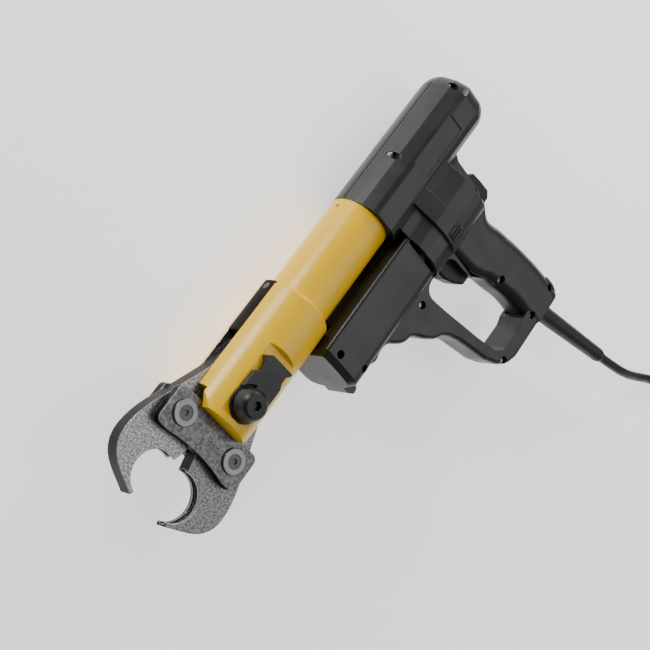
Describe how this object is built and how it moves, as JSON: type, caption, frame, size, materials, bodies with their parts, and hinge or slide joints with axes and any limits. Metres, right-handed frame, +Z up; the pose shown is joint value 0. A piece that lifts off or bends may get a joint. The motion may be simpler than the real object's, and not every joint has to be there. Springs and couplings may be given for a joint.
{
  "type": "electro-hydraulic radial pipe press",
  "caption": "Corded radial pipe press with a yellow hydraulic cylinder, a D-handle housing beside it and an open two-jaw pressing tong on a pull-out holding bolt.",
  "frame": {"origin": "centre of the tool's footprint as it lies on its side, at its lowest face; the cord with its coil and plug isn't counted", "axes": "+X along the cylinder towards the pressing tong, +Y from the cylinder towards the D-handle, +Z up, towards the holding bolt's knob"},
  "size_m": [0.6649, 0.6252, 0.0893],
  "materials": {
    "yellow_paint": "glossy",
    "black_plastic": "fine texture",
    "black_knob": "glossy",
    "forged_steel": "blasted, oiled",
    "bright_steel": "turned",
    "black_steel": "black oxide",
    "spring_steel": "drawn",
    "seal_rubber": "smooth",
    "cord_rubber": "matt",
    "gear_steel": "machined",
    "die_cast": "as cast",
    "stator_steel": "laminated, varnished",
    "armature_steel": "laminated, wound",
    "copper": "turned copper",
    "carbon": "pressed carbon",
    "brass": "stamped",
    "dark_plastic": "moulded"
  },
  "bodies": {
    "drive_unit": {"tong_holder": "yellow_paint", "slot_covers": "black_plastic", "cover_screws": "black_steel", "catch_spring": "spring_steel", "upper_side_plate": "forged_steel", "lower_side_plate": "forged_steel", "jaw_pins": "bright_steel", "pin_washers": "bright_steel", "pin_screws": "black_steel", "jaw_spring": "spring_steel", "rod_gland": "brass", "return_spring": "spring_steel", "cylinder_tube": "yellow_paint", "pump_block": "die_cast", "pump_plunger": "bright_steel", "idler_shaft": "bright_steel", "gear_carrier": "die_cast", "gear_cover": "die_cast", "pump_shaft_bearings": "bright_steel", "motor_stator": "stator_steel", "motor_bearings": "bright_steel", "carbon_brushes": "carbon", "brush_holders": "brass", "upper_housing": "black_plastic", "lower_housing": "black_plastic", "housing_screws": "black_steel", "trigger_spring": "spring_steel", "mains_switch": "dark_plastic", "release_spring": "spring_steel", "release_valve": "die_cast", "oil_reservoir": "seal_rubber", "cord_boot": "cord_rubber", "cord_lead": "cord_rubber", "cord_tail": "cord_rubber", "cord_coil": "cord_rubber", "mains_plug": "cord_rubber"},
    "ram": {"ram": "bright_steel", "roller_pins": "bright_steel", "piston": "bright_steel", "piston_seal": "seal_rubber"},
    "left_roller": {"left_roller": "bright_steel"},
    "right_roller": {"right_roller": "bright_steel"},
    "left_jaw": {"left_jaw": "forged_steel"},
    "right_jaw": {"right_jaw": "forged_steel"},
    "holding_bolt": {"holding_bolt": "black_knob"},
    "catch": {"catch": "black_plastic"},
    "armature": {"armature": "armature_steel", "commutator": "copper", "cooling_fan": "dark_plastic", "motor_pinion": "gear_steel"},
    "idler_gear": {"idler_gear": "gear_steel"},
    "pump_drive": {"pump_gear": "gear_steel", "pump_shaft": "gear_steel"},
    "trigger": {"trigger": "dark_plastic"},
    "release_button": {"release_button": "dark_plastic"}
  },
  "joints": [
    {"name": "ram_slide", "type": "slide", "parent": "drive_unit", "child": "ram", "axis": [1, 0, 0], "range_m": [0, 0.029], "deforming": ["return_spring"]},
    {"name": "left_roller_spin", "type": "hinge", "parent": "ram", "child": "left_roller", "pos_m": [0.07791, -0.09076, 0.04291], "axis": [0, 0, 1], "continuous": true},
    {"name": "right_roller_spin", "type": "hinge", "parent": "ram", "child": "right_roller", "pos_m": [0.07791, -0.07016, 0.04291], "axis": [0, 0, 1], "continuous": true},
    {"name": "left_jaw_pivot", "type": "hinge", "parent": "drive_unit", "child": "left_jaw", "pos_m": [0.16391, -0.11186, 0.04291], "axis": [0, 0, 1], "range_deg": [0, 17.01], "deforming": ["jaw_spring"]},
    {"name": "right_jaw_pivot", "type": "hinge", "parent": "drive_unit", "child": "right_jaw", "pos_m": [0.16391, -0.04906, 0.04291], "axis": [0, 0, 1], "range_deg": [-17.01, 0]},
    {"name": "bolt_pull", "type": "slide", "parent": "drive_unit", "child": "holding_bolt", "axis": [0, 0, 1], "range_m": [0, 0.045]},
    {"name": "catch_slide", "type": "slide", "parent": "drive_unit", "child": "catch", "axis": [-1, 0, 0], "range_m": [0, 0.006], "stiffness_N_per_m": 1500, "springref_m": -0.003, "deforming": ["catch_spring"]},
    {"name": "motor_spin", "type": "hinge", "parent": "drive_unit", "child": "armature", "pos_m": [-0.03209, -0.02346, 0.04291], "axis": [1, 0, 0], "continuous": true},
    {"name": "idler_spin", "type": "hinge", "parent": "drive_unit", "child": "idler_gear", "pos_m": [-0.11909, -0.04896, 0.04291], "axis": [1, 0, 0], "continuous": true},
    {"name": "pump_spin", "type": "hinge", "parent": "drive_unit", "child": "pump_drive", "pos_m": [-0.11909, -0.08046, 0.04291], "axis": [1, 0, 0], "continuous": true},
    {"name": "trigger_slide", "type": "slide", "parent": "drive_unit", "child": "trigger", "axis": [-1, 0, 0], "range_m": [0, 0.006], "stiffness_N_per_m": 900, "springref_m": -0.003, "deforming": ["trigger_spring"]},
    {"name": "release_slide", "type": "slide", "parent": "drive_unit", "child": "release_button", "axis": [1, 0, 0], "range_m": [0, 0.004], "stiffness_N_per_m": 1200, "springref_m": -0.003, "deforming": ["release_spring"]}
  ],
  "couplings": [
    {"joint": "left_jaw_pivot", "follows": "ram_slide", "rad_per_m": 10.231},
    {"joint": "right_jaw_pivot", "follows": "ram_slide", "rad_per_m": -10.231},
    {"joint": "idler_spin", "follows": "motor_spin", "ratio": -0.54546},
    {"joint": "pump_spin", "follows": "motor_spin", "ratio": 0.6}
  ]
}
